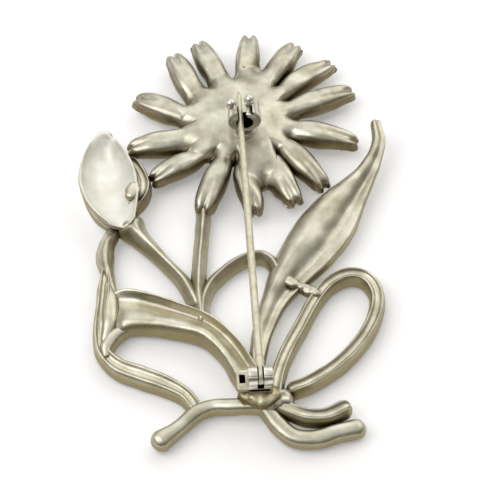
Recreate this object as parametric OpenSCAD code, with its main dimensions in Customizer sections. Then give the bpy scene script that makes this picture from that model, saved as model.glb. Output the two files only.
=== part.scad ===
// Back view of a cast flower spray brooch: daisy head, bud, leaf, ribbon bow,
// riveted pin stem and rotary safety catch. +Y runs along the pin stem towards
// the flower and +Z comes out of the back. The origin is the middle of the
// footprint, on the surface that the brooch lies on, face down.

/* [Spray] */
// Width of the whole spray, bud to leaf
spray_w = 46; // [42:1:58]
// Length of the whole spray, ribbon ends to top petal
spray_l = 72; // [64:1:88]
// Thickness of the ribbons and stems, top to bottom
cord_h = 2.6; // [2:0.1:3.2]
// Width of the ribbons of the two loops
cord_w = 2.3; // [1.8:0.1:2.8]

/* [Flower] */
// Distance from the flower's centre to an average petal tip
petal_reach = 17.5; // [14.5:0.5:21]
// Width of a petal
petal_w = 3.4; // [2.8:0.1:3.7]
// Depth of a petal's side walls
petal_d = 2.4; // [1.8:0.1:2.8]
// Thickness of the cast wall of the flower
wall = 0.8; // [0.6:0.1:1]
// Height of the middle of the flower's back above the table
dome_z = 5.2; // [4.6:0.1:6.2]
// Radius of the seed button on the front of the flower
button_r = 6; // [4.5:0.5:6.5]

/* [Bud and leaf] */
// Width of the bud's dish
bud_w = 8.6; // [7:0.1:9.6]
// Width of the big leaf at its widest
leaf_w = 8.4; // [7:0.1:9.4]

/* [Pin stem] */
// Height of the pin stem's centre line
pin_z = 8; // [7.6:0.1:9]
// Radius of the stem wire
wire_r = 0.55; // [0.45:0.05:0.65]
// Radius of the wire's heel, where it leaves the hinge
heel_r = 0.75; // [0.72:0.01:0.85]
// Radius of the wire where the point begins
neck_r = 0.42; // [0.3:0.02:0.45]
// Length of the sharpened point
point_l = 1.6; // [1.2:0.1:2.4]
// How far the point reaches past the catch
past_catch = 4.7; // [4:0.1:6.4]

/* [Hinge] */
// Radius of the rivet
rivet_r = 0.4; // [0.3:0.05:0.5]
// Radius of the two round cheeks
cheek_r = 1.4; // [1.2:0.05:1.7]
// Thickness of one cheek
cheek_t = 1.3; // [0.9:0.1:1.6]
// Thickness of the flattened eye of the stem
eye_t = 0.8; // [0.6:0.05:1]
// Running clearance of the pin stem and the catch
gap = 0.05; // [0.04:0.01:0.08]

/* [Catch] */
// Outer radius of the catch's ring
catch_r = 2.45; // [2.3:0.05:2.8]
// Outer radius of the turning sleeve
sleeve_r = 1.7; // [1.6:0.05:1.8]
// Wall of the turning sleeve
sleeve_wall = 0.42; // [0.35:0.02:0.5]
// Length of the catch's ring
catch_l = 1.3; // [1.2:0.1:2]
// Width of the slot in the sleeve
slot_w = 1.5; // [1.4:0.05:1.6]
// Radius of the two finger knobs
knob_r = 0.75; // [0.6:0.05:0.85]
// Tilt of the sleeve's slot at rest, towards the bud
slot_tilt = 16; // [8:1:20]

/* [Hidden] */
$fn = 48;
metal = "silver";
nickel = "lightgray";

// The layout is drawn for a spray of this width and length, then stretched
plan_w = 46;
plan_l = 72;
sx = spray_w / plan_w;
sy = spray_l / plan_l;
function at(x, y) = [x * sx, y * sy];

flower_at = at(2, 21.8);
hinge_at = at(1.2, -26.3);
catch_at = flower_at + [-0.2, -2.7];

// Directions of the petals' tips, clockwise from +Y, how far each root is turned from
// its tip, and how long each petal is beside the average
petal_turn = [6, 31, 52, 72, 105, 138, 156, 178, 204, 236, 258, 290, 324, 339];
petal_sway = [0, -2, -3, 4, 2, -6, 1, 3, 3, -5, -4, -9, -14, -1];
petal_long = [0.2, 0.3, 0.9, 0.4, 0, -0.6, -0.7, -0.6, 0.2, 0.1, 0.6, 0, 0.1, 0.3];
// How far out the gap before each petal begins
gap_start = [9, 11.5, 8.6, 7.6, 7.8, 7.9, 7.8, 12, 7.8, 8.7, 10.7, 9.4, 9.7, 9];
petals = len(petal_turn);
tip_z = 3.2;
dome_fall = 0.9;
arch_d = 0.4;
root_r = 8.6;
crease_d = 1.6;
tip_round = 1.4;
notch_d = 0.6;
valley_d = 0.12;
function heading(a) = [sin(a), cos(a)];
function reach(i) = petal_reach + petal_long[i];
function petal_tip(i) = flower_at + reach(i) * heading(petal_turn[i]);

// Where the petals touch their neighbours, beside where the plan has them
leaf_petal = 5;
bud_petal_no = 10;
stem_petal = 8;
leaf_move = petal_tip(leaf_petal) - at(13.3, 9.2);
bud_move = petal_tip(bud_petal_no) - at(-15.7, 18);

// The whole spray is moved by this much, so that the origin is in the middle of it
left_edge = at(-19, 0)[0] + bud_move[0] - bud_w / 2;
right_edge = at(21.95, 0)[0] + leaf_move[0] + 1.05;
top_edge = petal_tip(0)[1] + 0.2;
bottom_edge = at(0, -33)[1] - 1.3;
middle = [(left_edge + right_edge) / 2, (top_edge + bottom_edge) / 2, 0];

// ---- sweeping ----

function mix(a, b, t) = a + (b - a) * t;
function smooth(t) = t <= 0 ? 0 : t >= 1 ? 1 : t * t * (3 - 2 * t);
function sgn_pow(v, p) = sign(v) * pow(abs(v), p);

// Catmull-Rom curve through rows of numbers, n steps a span
function curve_point(a, b, c, d, t) =
    0.5 * (2 * b + (c - a) * t + (2 * a - 5 * b + 4 * c - d) * t * t
    + (3 * b - a - 3 * c + d) * t * t * t);
function curve(p, n) = [
    for (i = [0:len(p) - 2])
        for (k = [0:n - 1])
            curve_point(p[max(i - 1, 0)], p[i], p[i + 1], p[min(i + 2, len(p) - 1)], k / n),
    p[len(p) - 1]
];

// A section is 14 points from the right edge over the top and back underneath
rod = [for (j = [0:13]) [sgn_pow(cos(j * 360 / 14), 0.75), sgn_pow(sin(j * 360 / 14), 0.75)]];
grooved = [[1, 0], [0.92, 0.8], [0.62, 1], [0.24, 0.55], [-0.24, 0.55], [-0.62, 1], [-0.92, 0.8],
           [-1, 0], [-0.92, -0.8], [-0.6, -1], [-0.2, -1], [0.2, -1], [0.6, -1], [0.92, -0.8]];
gabled = [[1, -0.1], [0.8, 0.3], [0.5, 0.65], [0.14, 1], [-0.14, 1], [-0.5, 0.65], [-0.8, 0.3],
          [-1, -0.1], [-0.92, -0.8], [-0.6, -1], [-0.2, -1], [0.2, -1], [0.6, -1], [0.92, -0.8]];
troughed = [[1, 0.4], [0.93, 1], [0.6, 0.35], [0.25, 0.45], [-0.2, 0.85], [-0.65, 1], [-0.95, 0.7],
            [-1, 0], [-0.95, -0.8], [-0.6, -1], [-0.2, -1], [0.2, -1], [0.6, -1], [0.95, -0.7]];
dished = [[1, 0.5], [0.95, 1], [0.74, 0.6], [0.28, -0.05], [-0.28, -0.05], [-0.74, 0.6], [-0.95, 1],
          [-1, 0.5], [-0.86, -0.2], [-0.55, -0.7], [-0.2, -1], [0.2, -1], [0.55, -0.7], [0.86, -0.2]];
waved = [[1, -0.2], [0.92, 0.35], [0.68, 0.25], [0.38, 0.1], [0.02, 0.7], [-0.35, 0.95], [-0.75, 0.6],
         [-1, -0.1], [-0.9, -0.75], [-0.55, -1], [-0.2, -1], [0.2, -1], [0.58, -0.95], [0.92, -0.75]];

// One ring: a station is [x, y, z of the middle, width, height, share of the special section]
function ring(s, way, form) =
    let (side = [way[1], -way[0]] / norm(way))
    [for (j = [0:13])
        let (q = mix(rod[j], form[j], max(0, min(1, s[5]))))
        [s[0] + side[0] * q[0] * s[3] / 2, s[1] + side[1] * q[0] * s[3] / 2, s[2] + q[1] * s[4] / 2]];
function shrunk(s, way, out, k) =
    [s[0] + way[0] / norm(way) * out, s[1] + way[1] / norm(way) * out, s[2], s[3] * k, s[4] * k, s[5]];

// A closed sweep through the stations, with rounded ends
module strand(stations, form, n = 3) {
    p = curve(stations, n);
    last = len(p) - 1;
    ways = [for (i = [0:last]) [for (c = [0:1]) p[min(i + 1, last)][c] - p[max(i - 1, 0)][c]]];
    r0 = min(p[0][3], p[0][4]) / 2;
    r1 = min(p[last][3], p[last][4]) / 2;
    rings = concat(
        [ring(shrunk(p[0], ways[0], -r0, 0.4), ways[0], form),
         ring(shrunk(p[0], ways[0], -r0 * 0.6, 0.82), ways[0], form)],
        [for (i = [0:last]) ring(p[i], ways[i], form)],
        [ring(shrunk(p[last], ways[last], r1 * 0.6, 0.82), ways[last], form),
         ring(shrunk(p[last], ways[last], r1, 0.4), ways[last], form)]);
    count = len(rings);
    sides = [for (i = [0:count - 2]) for (j = [0:13])
        let (k = (j + 1) % 14)
        [i * 14 + j, i * 14 + k, (i + 1) * 14 + k, (i + 1) * 14 + j]];
    polyhedron([for (r = rings) each r],
        concat(sides, [[for (j = [13:-1:0]) j]], [[for (j = [0:13]) (count - 1) * 14 + j]]), 10);
}

// ---- the flower ----

cols = 8;
rows = 8;
hub_rings = 3;
around = petals * cols;
function wrapped(i) = (i + petals) % petals;
function root_turn(i) = petal_turn[wrapped(i)] + petal_sway[wrapped(i)] + 360 * floor(i / petals);
function crease_turn(i) = (root_turn(i - 1) + root_turn(i)) / 2;
function crease_r(i) = max(gap_start[wrapped(i)], 0.45 * petal_w / sin((root_turn(i) - root_turn(i - 1)) / 2));
function side_share(j) = sin(90 * (2 * j / cols - 1));
function dome(r) = dome_z - dome_fall * pow(r / root_r, 2);

// A point of the ring from which the petals leave
function root_point(i, s) =
    let (t = (s + 1) / 2, r = mix(crease_r(i), crease_r(i + 1), t),
        a = mix(crease_turn(i), crease_turn(i + 1), t))
    [r * sin(a), r * cos(a), dome(r) - crease_d * pow(abs(s), 3)];

// A point of petal i: s across it, v from its root to its tip, depth 0 outside and 1 inside
function petal_point(i, s, v, depth) =
    let (root = root_point(i, s),
        foot = crease_r(i) * heading(root_turn(i)),
        tip = (reach(i) + notch_d / 2) * heading(petal_turn[i]),
        axis = (tip - foot) / norm(tip - foot),
        side = [axis[1], -axis[0]],
        skin = depth * wall * 0.65,
        w = petal_w / 2 * (0.82 + 0.33 * sin(180 * pow(v, 0.8))) - skin,
        deep = petal_d * (0.6 + 0.4 * sin(180 * pow(v, 0.8))),
        ends = tip_round * (1 - pow(1 - pow(abs(s), 3), 1 / 3)) + notch_d * exp(-pow(s / 0.24, 2)),
        out0 = [root[0], root[1]] * axis,
        out1 = tip * axis,
        nose = max(0, (v - 0.8) / 0.2),
        full = min(1, pow(abs(s), 4) + pow(nose, 3)),
        fall = 1 - pow(1 - full, 1 / 3),
        valley = valley_d * exp(-pow(s / 0.35, 2)) * smooth((v - 0.5) / 0.4),
        ridge = mix(dome(norm([root[0], root[1]])), tip_z, pow(v, 1.4)) + arch_d * sin(180 * v),
        z = ridge - depth * wall - valley * (1 - full) - (deep - depth * wall) * fall,
        b = smooth(v / 0.3),
        along = mix(out0, out1 - ends - skin, v),
        base = tip + (along - out1) * axis,
        flat = flat_mix([root[0], root[1]], base + s * w * side, b))
    [flat[0], flat[1], mix(root[2] - depth * wall, z, b)];
function flat_mix(a, b, t) = [mix(a[0], b[0], t), mix(a[1], b[1], t)];
row_v = [0.07, 0.16, 0.28, 0.48, 0.68, 0.82, 0.93, 1];

function flower_skin(depth) = concat(
    [[0, 0, dome(0) - depth * wall]],
    [for (k = [1:hub_rings]) for (m = [0:around - 1])
        let (p = root_point(floor(m / cols), side_share(m % cols)),
            f = k / hub_rings,
            z = k == hub_rings ? p[2] : dome(f * norm([p[0], p[1]])))
        [f * p[0], f * p[1], z - depth * wall]],
    [for (i = [0:petals - 1]) for (r = [0:rows - 1]) for (j = [0:cols])
        petal_point(i, side_share(j), row_v[r], depth)]);

skin_size = 1 + hub_rings * around + petals * rows * (cols + 1);
function hub_no(k, m) = 1 + (k - 1) * around + m % around;
function petal_no(i, r, j) =
    r == 0 ? hub_no(hub_rings, i * cols + j)
    : 1 + hub_rings * around + (i * rows + r - 1) * (cols + 1) + j;

skin_faces = concat(
    [for (m = [0:around - 1]) [0, hub_no(1, m), hub_no(1, m + 1)]],
    [for (k = [1:hub_rings - 1]) for (m = [0:around - 1])
        [hub_no(k, m), hub_no(k + 1, m), hub_no(k + 1, m + 1), hub_no(k, m + 1)]],
    [for (i = [0:petals - 1]) for (r = [0:rows - 1]) for (j = [0:cols - 1])
        [petal_no(i, r, j), petal_no(i, r + 1, j), petal_no(i, r + 1, j + 1), petal_no(i, r, j + 1)]]);
function flipped(face) = [for (k = [len(face) - 1:-1:0]) face[k] + skin_size];
function rim(a, b) = [b, a, a + skin_size, b + skin_size];
rim_faces = [for (i = [0:petals - 1]) each concat(
    [for (r = [0:rows - 1]) rim(petal_no(i, r, 0), petal_no(i, r + 1, 0))],
    [for (j = [0:cols - 1]) rim(petal_no(i, rows, j), petal_no(i, rows, j + 1))],
    [for (r = [0:rows - 1]) rim(petal_no(i, r + 1, cols), petal_no(i, r, cols))])];

module flower_head() {
    color(metal)
    translate([flower_at[0], flower_at[1], 0])
    polyhedron(concat(flower_skin(0), flower_skin(1)),
        concat(skin_faces, [for (f = skin_faces) flipped(f)], rim_faces), 10);
}

// Domed button on the front, with a foot that is soldered inside the flower
module seed_button() {
    foot_r = 2.2;
    rim_z = 2.6;
    color(metal)
    translate([flower_at[0], flower_at[1], 0])
    rotate_extrude()
    polygon(concat(
        [[0, 0]],
        [for (a = [10:10:90]) [button_r * sin(a), rim_z - rim_z * cos(a)]],
        [[button_r - 0.4, rim_z + 0.8], [foot_r, rim_z + 1], [foot_r, dome(foot_r) - wall / 2],
         [0, dome(foot_r) - wall / 2]]));
}

// ---- stems, bud and leaf ----

// A station of the plan: the place is stretched with the spray, the section isn't
function st(x, y, z, w, h, k = 1, move = [0, 0]) = [x * sx + move[0], y * sy + move[1], z, w, h, k];

joint_at = [-6.3, -12.6];

module flower_stem() {
    top = petal_tip(stem_petal) - 0.4 * heading(petal_turn[stem_petal]);
    color(metal)
    strand([[top[0], top[1], 1.7, 2.3, cord_h, 1], st(-5.6, 1, 1.7, 2.2, cord_h), st(-6.1, -3, 1.7, 2.2, cord_h),
            st(-6.5, -8, 1.8, 2.3, cord_h), st(joint_at[0], joint_at[1], 1.9, 2.6, cord_h)], gabled);
}

module bud_stem() {
    color(metal)
    strand([st(-16.8, 5.6, 2.3, 4, 3, 0, bud_move), st(-15.8, 3.7, 2.2, 4.3, 3.5, 0.3, bud_move),
            st(-14.4, 1.8, 2, 2.9, 3, 1, bud_move * 0.8), st(-11.4, -2.1, 1.8, 2.1, cord_h, 1, bud_move * 0.5),
            st(-8.6, -6, 1.8, 2.2, cord_h, 1, bud_move * 0.2), st(-7, -10, 1.9, 2.4, cord_h)], gabled);
}

module branch_strut() {
    color(metal)
    strand([st(joint_at[0] + 0.2, joint_at[1], 1.9, 2.2, cord_h), st(-5.8, -9.6, 1.8, 2, cord_h),
            st(-4.6, -6.8, 1.7, 2, cord_h), st(-2.3, -4.4, 1.7, 2, cord_h), st(0.2, -2.7, 1.7, 2, cord_h),
            st(2.5, -2.1, 1.7, 2, cord_h), st(4.2, -3, 1.7, 2, cord_h, 1, leaf_move * 0.5),
            st(5, -4.6, 1.7, 2, cord_h, 1, leaf_move * 0.5)], gabled);
}

module big_leaf() {
    color(metal)
    strand([st(1, -23.6, 2, 2.2, cord_h, 0), st(1.3, -19.6, 1.8, 2.4, cord_h, 0.2),
            st(2.4, -15, 1.7, 3, 2.6, 0.5), st(4.4, -10, 1.8, 4, 2.8, 0.8),
            st(7.2, -5.4, 2, 6.4, 3.2, 1, leaf_move * 0.5), st(10.3, -1.4, 2.2, 0.96 * leaf_w, 3.4, 1, leaf_move * 0.8),
            st(13, 2.4, 2.3, leaf_w, 3.4, 1, leaf_move), st(15.8, 6.4, 2.4, 0.79 * leaf_w, 3.2, 1, leaf_move),
            st(18.5, 9.8, 2.6, 0.48 * leaf_w, 2.8, 0.9, leaf_move), st(20.6, 13, 2.9, 2.7, 2.2, 0.7, leaf_move),
            st(21.9, 16.2, 3.3, 2.1, 2, 0.6, leaf_move), st(21.9, 19.6, 3.6, 1.8, 1.8, 0.6, leaf_move)], waved);
}

module leaf_tie() {
    color(metal)
    strand([st(6.3, -7, 2.1, 1.7, 1.8, 0), st(8.2, -8.2, 2.1, 1.5, 1.8, 0), st(10.4, -9.4, 2, 1.7, 1.8, 0)], gabled);
}

// The bud's hollow dish, seen from inside
module bud_dish() {
    rim_z = 4.8;
    function rim_at(x, y, w, h) = st(x, y, rim_z - h / 2, w * bud_w, h, 1, bud_move);
    color(metal)
    strand([rim_at(-17.1, 3.8, 0.5, 2.2), rim_at(-17.6, 5.4, 0.7, 3.2), rim_at(-18.2, 7.6, 0.9, 3.8),
            rim_at(-18.8, 10.3, 1, 4.1), rim_at(-19.1, 13, 0.97, 4.1), rim_at(-19.3, 15.7, 0.78, 3.8),
            rim_at(-19.4, 18, 0.54, 3), rim_at(-19.3, 19.5, 0.28, 2.4)], dished);
}

// The bud's second petal, curled round its flower side, with a round pad at its foot
module bud_petal() {
    function rim_at(x, y, w) = st(x, y, 2.4, w, 3, 1, bud_move);
    color(metal)
    strand([rim_at(-17, 16.6, 1.6), rim_at(-15.2, 14.9, 2), rim_at(-14, 12.4, 2.2),
            rim_at(-13.7, 10.4, 2.4), rim_at(-14.2, 8.6, 2.2), rim_at(-15.3, 7.2, 2)], grooved);
}

// ---- the ribbon bow ----

module side_leaf() {
    color(metal)
    strand([st(-18, 4.6, 2.2, 2.4, 2.4, 0.5, bud_move), st(-19.4, 1.2, 1.9, 2.4, 2.4, 1, bud_move * 0.7),
            st(-19.8, -1.4, 1.8, 2.7, 2.4, 1, bud_move * 0.3), st(-19.4, -4.4, 1.7, 1.8, 2.4, 0.6),
            st(-18.8, -7.6, 1.6, 1.4, 2.2, 0)], gabled);
}

module left_loop() {
    function turn_at(x, y, z = 1.5, w = cord_w) = st(x, y, z, w, cord_h);
    color(metal)
    strand([turn_at(-19.8, -4.4, 1.7, 1.5), turn_at(-20.3, -7.4, 1.6, 1.7), turn_at(-20.8, -11, 1.5, 1.9),
            turn_at(-20.9, -14.6, 1.4, 2), turn_at(-20.4, -17.4, 1.4), turn_at(-18.4, -19.8, 1.3, 2.9),
            turn_at(-15.2, -21.4, 1.3, 3.2), turn_at(-11.8, -23.1, 1.3, 2.9), turn_at(-9.1, -25.1, 1.3, 2.3),
            turn_at(-7.6, -27.7, 1.4, 2)], grooved);
}

module wide_ribbon() {
    color(metal)
    strand([st(0.4, -26, 2.6, 3.4, 3.6), st(-1, -22.2, 2.5, 3.6, 3.7), st(-2.9, -18.4, 2.3, 3.5, 3.7),
            st(-5.8, -15, 2.2, 3.8, 3.7), st(-10, -13, 2.1, 4.7, 3.7), st(-14, -11.7, 2.1, 5.8, 3.6),
            st(-17.2, -11.1, 1.9, 6.9, 3.2), st(-19.2, -11.3, 1.6, 6.6, 2.5, 0.6)], troughed);
}

module right_loop() {
    function turn_at(x, y, z = 1.6, w = cord_w) = st(x, y, z, w, cord_h + 0.2);
    color(metal)
    strand([turn_at(3.3, -26, 2.6), turn_at(4, -22.9, 2.2), turn_at(5.4, -19.3, 1.9), turn_at(7.8, -14.8),
            turn_at(10.1, -10.7), turn_at(12.5, -7.8), turn_at(15.2, -6.5), turn_at(17.7, -7.1), turn_at(19, -9.4),
            turn_at(18.9, -12.3), turn_at(17.5, -15.7), turn_at(15.2, -18.9), turn_at(12, -21.9),
            turn_at(8.2, -24.4, 1.9), turn_at(6, -25.5, 2.4)], grooved);
}

module left_tail() {
    color(metal)
    strand([st(1, -27.9, 2.6, 2.4, cord_h, 0), st(-2.4, -27.5, 2, 2.2, cord_h, 0), st(-5.4, -27.2, 1.6, 2.2, cord_h, 0),
            st(-7.8, -28, 1.5, 2.3, cord_h, 0), st(-10.3, -30.2, 1.5, 2.2, cord_h, 0),
            st(-12.8, -32, 1.6, 3, 2.8, 0)], grooved);
}

module upper_right_tail() {
    color(metal)
    strand([st(3, -27.6, 2.6, 2.2, cord_h, 0), st(5.4, -29, 2.3, 2.3, cord_h, 0.5), st(7.8, -29.8, 2, 2.4, cord_h),
            st(10.2, -29.8, 1.9, 2.5, cord_h), st(12.6, -28.8, 1.9, 2.6, cord_h)], grooved);
}

module lower_right_tail() {
    color(metal)
    strand([st(1.8, -28.2, 2.4, 2.4, cord_h, 0), st(3.4, -30.6, 1.7, 2.6, cord_h, 0), st(5.6, -32.6, 1.4, 2.6, cord_h, 0),
            st(8.6, -33, 1.4, 2.6, cord_h, 0), st(11.6, -32.2, 1.4, 2.6, cord_h, 0),
            st(14.2, -31.7, 1.4, 2.8, cord_h, 0)], grooved);
}

// The lump of metal that the ribbons, the leaf and the hinge all meet in
module bow_knot() {
    color(metal)
    strand([st(-0.4, -26.6, 2.7, 3.2, 4, 0), st(1.2, -26.8, 2.8, 4.4, 4.6, 0), st(2.8, -27.1, 2.8, 4.2, 4.6, 0),
            st(4.3, -27.2, 2.7, 3.4, 4.2, 0)], grooved);
}

// ---- hinge ----

knot_top = 5.1;
cheek_gap = eye_t / 2 + gap;
rivet_l = 2 * (cheek_gap + cheek_t);

// A cylinder from x = a to x = b about the hinge's axis
module across(r, a, b) {
    translate([a, 0, 0])
    rotate([0, 90, 0])
    cylinder(r = r, h = b - a);
}

// Two thick round cheeks on a block, and a foot plate with a square hole
module hinge_base() {
    block_w = 2 * cheek_r - 0.6;
    plate_t = 0.7;
    plate_out = 1.6;
    plate_top = pin_z - cheek_r - 0.25;
    hole = 0.8;
    color(nickel)
    translate([hinge_at[0], hinge_at[1], 0])
    difference() {
        union() {
            translate([0, 0, pin_z])
            across(cheek_r, -rivet_l / 2, rivet_l / 2);
            translate([-rivet_l / 2, -block_w / 2, knot_top - 0.3])
            cube([rivet_l, block_w, pin_z - knot_top + 0.3]);
            translate([-rivet_l / 2 - plate_out, -block_w / 2, plate_top - plate_t])
            cube([rivet_l + plate_out, block_w + 1, plate_t]);
        }
        translate([-cheek_gap, -cheek_r - 1, plate_top])
        cube([2 * cheek_gap, 2 * cheek_r + 2, 2 * cheek_r + 2]);
        translate([0, 0, pin_z])
        across(rivet_r, -rivet_l, rivet_l);
        translate([-rivet_l / 2 - plate_out * 0.7, 0, plate_top - 2 * plate_t])
        cube([hole, hole * 1.7, 3 * plate_t]);
    }
}

module hinge_rivet() {
    color(nickel)
    translate([hinge_at[0], hinge_at[1], pin_z])
    across(rivet_r, -rivet_l / 2, rivet_l / 2);
}

// ---- pin stem ----

eye_r = cheek_r - 0.2;
heel_l = 2.6;
stem_l = catch_at[1] + past_catch - hinge_at[1];
neck_at = catch_at[1] - hinge_at[1] - catch_l - 2;

// Flattened eye, a heel, straight wire, a slow taper through the catch, and the point
module pin_stem() {
    color(nickel)
    translate([hinge_at[0], hinge_at[1], pin_z])
    difference() {
        union() {
            across(eye_r, -eye_t / 2, eye_t / 2);
            rotate([-90, 0, 0]) {
                cylinder(r = heel_r, h = heel_l);
                translate([0, 0, heel_l])
                cylinder(r = wire_r, h = neck_at - 10 - heel_l);
                translate([0, 0, neck_at - 10])
                cylinder(r1 = wire_r, r2 = neck_r, h = 10);
                translate([0, 0, neck_at])
                cylinder(r = neck_r, h = stem_l - point_l - neck_at);
                translate([0, 0, stem_l - point_l])
                cylinder(r1 = neck_r, r2 = 0.12, h = point_l);
            }
        }
        across(rivet_r + gap, -eye_t, eye_t);
        for (side = [-1, 1])
            translate([side * (eye_t / 2 + 1) - 1, -eye_r - 1, -eye_r - 1])
            cube([2, eye_r + 1 + cheek_r + 0.3, 2 * eye_r + 2]);
    }
}

// ---- catch ----

bore_r = sleeve_r + gap;
// The sleeve's bore clears the stem, which passes beside the catch's axis
sleeve_in = max(sleeve_r - sleeve_wall, abs(catch_at[0] - hinge_at[0]) + wire_r + 0.1);
collar_l = 2 * knob_r - 0.1;
flange_l = 0.25;

// A cylinder from y = a to y = b about the catch's axis
module along(r, a, b) {
    translate([0, a, 0])
    rotate([-90, 0, 0])
    cylinder(r = r, h = b - a);
}

// The fixed ring, open at the top, on its soldered foot
module catch_ring() {
    foot_r = 1.7;
    open_w = slot_w + 0.9;
    ring_foot = pin_z - catch_r + 0.6 - dome_z;
    color(nickel)
    translate([catch_at[0], catch_at[1], pin_z])
    difference() {
        union() {
            along(catch_r, 0, catch_l);
            translate([0, catch_l / 2, dome_z - 0.25 - pin_z])
            cylinder(r = foot_r, h = 0.55);
            translate([-1.6, 0, dome_z - 0.1 - pin_z])
            cube([3.2, catch_l, ring_foot + 0.1]);
        }
        along(bore_r, -1, catch_l + 1);
        translate([-open_w / 2, -1, 0])
        cube([open_w, catch_l + 2, catch_r + 1]);
    }
}

// The turning sleeve: a flange behind the ring, a collar with two knobs in front
module catch_sleeve() {
    collar_r = catch_r - 0.1;
    knob_turn = 36;
    color(nickel)
    translate([catch_at[0], catch_at[1], pin_z])
    rotate([0, -slot_tilt, 0])
    difference() {
        union() {
            along(sleeve_r, -gap, catch_l + gap);
            along(sleeve_r + 0.25, -gap - flange_l, -gap);
            along(collar_r, catch_l + gap, catch_l + gap + collar_l);
            for (a = [-knob_turn, knob_turn])
                rotate([0, a, 0])
                translate([0, catch_l + gap + knob_r, catch_r + 0.1])
                sphere(r = knob_r);
        }
        along(sleeve_in, -2, catch_l + collar_l + 2);
        translate([-slot_w / 2, -2, 0])
        cube([slot_w, catch_l + collar_l + 4, catch_r + 2]);
    }
}

// ---- assembly ----

translate(-middle) {
    flower_head();
    seed_button();
    flower_stem();
    bud_dish();
    bud_petal();
    bud_stem();
    branch_strut();
    big_leaf();
    leaf_tie();
    right_loop();
    wide_ribbon();
    side_leaf();
    left_loop();
    left_tail();
    upper_right_tail();
    lower_right_tail();
    bow_knot();
    hinge_base();
    hinge_rivet();
    pin_stem();
    catch_ring();
    catch_sleeve();
}
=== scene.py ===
import math

import bmesh
import bpy
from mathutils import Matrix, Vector, noise


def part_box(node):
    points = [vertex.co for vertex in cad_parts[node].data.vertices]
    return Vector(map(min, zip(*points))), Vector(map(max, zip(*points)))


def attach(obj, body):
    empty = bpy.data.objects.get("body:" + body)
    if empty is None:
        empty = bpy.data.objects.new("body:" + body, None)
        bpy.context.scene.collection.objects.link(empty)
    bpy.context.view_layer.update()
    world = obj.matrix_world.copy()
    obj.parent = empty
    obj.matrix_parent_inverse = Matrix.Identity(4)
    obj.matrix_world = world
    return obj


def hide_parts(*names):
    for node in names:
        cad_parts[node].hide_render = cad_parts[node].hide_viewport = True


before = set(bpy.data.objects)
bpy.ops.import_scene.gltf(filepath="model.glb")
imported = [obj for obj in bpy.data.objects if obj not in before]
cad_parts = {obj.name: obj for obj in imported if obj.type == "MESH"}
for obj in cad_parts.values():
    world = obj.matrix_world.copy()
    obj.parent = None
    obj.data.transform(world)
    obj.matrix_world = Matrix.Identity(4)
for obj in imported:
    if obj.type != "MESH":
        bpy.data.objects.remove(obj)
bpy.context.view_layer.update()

# ---- Flower head ----
# The daisy is one thin shell of white metal, spun cast in a rubber mould with its fourteen
# petals, tumbled and nickel plated. The back is a low dome; the front is hollow.
mm = 0.001


def box_middle(low, high):
    """The middle of a node's box, in millimetres."""
    return [(a + b) / 2 / mm for a, b in zip(low, high)]


rivet_low, rivet_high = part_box("hinge_rivet")
button_low, button_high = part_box("seed_button")
rivet_middle = box_middle(rivet_low, rivet_high)
button_middle = box_middle(button_low, button_high)
# Places are laid out in millimetres with the rivet at RIVET_LAID_OUT; LAYOUT_SHIFT moves them
# into the row's frame
RIVET_LAID_OUT = (1.2, -26.3)
LAYOUT_SHIFT = Vector((rivet_middle[0] - RIVET_LAID_OUT[0], rivet_middle[1] - RIVET_LAID_OUT[1], 0))
FLOWER_AT = Vector((button_middle[0], button_middle[1], 0))

# Petal by petal, clockwise from the top: the heading of its tip, how far its root is turned
# from that, the tip's distance from the middle, and where the crease before it ends
PETAL_TURN = [6, 31, 52, 72, 105, 138, 156, 178, 204, 236, 258, 290, 324, 339]
PETAL_SWAY = [0, -2, -3, 4, 2, -6, 1, 3, 3, -5, -4, -9, -14, -1]
PETAL_REACH = [17.7, 17.8, 18.4, 17.9, 17.5, 16.9, 16.8, 16.9, 17.7, 17.6, 18.1, 17.5, 17.6, 17.8]
GAP_START = [9, 11.5, 8.6, 7.6, 7.8, 7.9, 7.8, 12, 7.8, 8.7, 10.7, 9.4, 9.7, 9]
PETAL_W = 3.4
PETAL_D = 2.4
SHELL_WALL = 0.8
DOME_TOP = 5.2
DOME_R = 8.6
DOME_FALL = 0.9
CREASE_D = 1.6
TIP_Z = 3.2
TIP_CORNER = 1.4
NOTCH_L = 0.6
NOTCH_SHARE = 0.24
HUB_RINGS = 14
PETAL_COLS = 26
PETAL_ROWS = 26


def mix(a, b, t):
    return a + (b - a) * t


def smooth(t):
    t = min(max(t, 0.0), 1.0)
    return t * t * (3 - 2 * t)


def dome_z(r):
    """Height of the dome's back at a distance from its middle."""
    return DOME_TOP - DOME_FALL * (r / DOME_R) ** 2


def heading(degrees):
    """A direction in the plan, clockwise from the top."""
    return Vector((math.sin(math.radians(degrees)), math.cos(math.radians(degrees))))


def root_turn(i):
    n = len(PETAL_TURN)
    return PETAL_TURN[i % n] + PETAL_SWAY[i % n] + 360 * (i // n)


def crease_turn(i):
    return (root_turn(i - 1) + root_turn(i)) / 2


def crease_r(i):
    """Where the crease before petal i ends: never so near that the petals overlap."""
    half = math.radians((root_turn(i) - root_turn(i - 1)) / 2)
    return max(GAP_START[i % len(GAP_START)], 0.45 * PETAL_W / math.sin(half))


def root_point(i, s):
    """A point of the line on which petal i leaves the dome; s is -1 and 1 at its creases."""
    t = (s + 1) / 2
    r = mix(crease_r(i), crease_r(i + 1), t)
    a = heading(mix(crease_turn(i), crease_turn(i + 1), t))
    return Vector((r * a.x, r * a.y, dome_z(r) - CREASE_D * abs(s) ** 3))


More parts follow.
